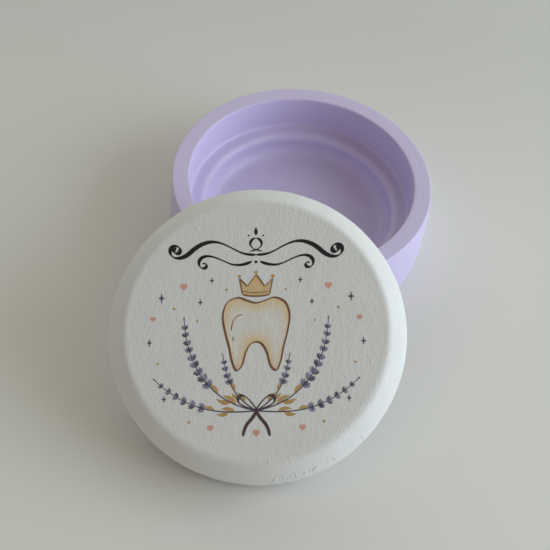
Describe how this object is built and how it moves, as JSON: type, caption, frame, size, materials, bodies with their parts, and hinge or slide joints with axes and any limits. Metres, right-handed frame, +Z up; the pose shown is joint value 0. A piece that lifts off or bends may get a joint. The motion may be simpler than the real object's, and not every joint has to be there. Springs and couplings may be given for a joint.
{
  "type": "baby tooth box",
  "caption": "Round turned wooden keepsake box for milk teeth, with a stepped inside and a thick loose lid that is taken off and leans on its rim.",
  "frame": {"origin": "middle of the box's flat foot, on the table", "axes": "+Z up along the box's turning axis; the lid leans on the -Y side"},
  "size_m": [0.0997, 0.1567, 0.0536],
  "materials": {
    "box_paint": "turned wood with satin lilac paint",
    "lid_paint": "turned wood with matt chalky white paint, brushed",
    "film": null
  },
  "bodies": {
    "base": {"box_base": "box_paint"},
    "lid": {"box_lid": "lid_paint", "print_film": "film"}
  },
  "joints": [
    {"name": "lid_lift", "type": "slide", "parent": "base", "child": "lid", "axis": [-0.0572, -0.4346, 0.8988], "range_m": [0, 0.06]}
  ]
}
